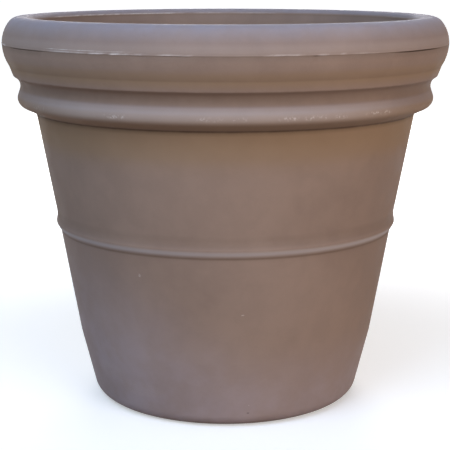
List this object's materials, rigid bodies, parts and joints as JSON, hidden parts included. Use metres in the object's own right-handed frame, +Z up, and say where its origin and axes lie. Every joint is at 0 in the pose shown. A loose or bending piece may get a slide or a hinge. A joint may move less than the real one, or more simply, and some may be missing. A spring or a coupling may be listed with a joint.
{
  "type": "flower pot",
  "caption": "Round double-wall moulded planter with a rolled rim over a smaller roll, a raised bead round its tapered wall, and a centre drain with a screw plug.",
  "frame": {"origin": "on the ground at the middle of the base", "axes": "+Z up along the pot's axis; the pot is round, and +X points to the vent plug under the base"},
  "size_m": [0.5, 0.4998, 0.434],
  "materials": {
    "shell": "matte rotomoulded polyethylene, warm taupe, faintly pebbled",
    "fitting": "black moulded nylon, satin",
    "seal": "black sealing rubber, matte"
  },
  "bodies": {
    "pot": {"pot_shell": "shell", "drain_bush": "fitting", "vent_plug": "fitting"},
    "plug_carrier": {"plug_seal": "seal"},
    "plug": {"drain_plug": "fitting"}
  },
  "joints": [
    {"name": "plug_rise", "type": "slide", "parent": "pot", "child": "plug_carrier", "axis": [0, 0, 1], "range_m": [0, 0.0181]},
    {"name": "plug_turn", "type": "hinge", "parent": "plug_carrier", "child": "plug", "pos_m": [0, 0, 0.034], "axis": [0, 0, 1], "range_deg": [0, 1620]}
  ],
  "couplings": [
    {"joint": "plug_rise", "follows": "plug_turn", "m_per_rad": 0.00063662}
  ]
}
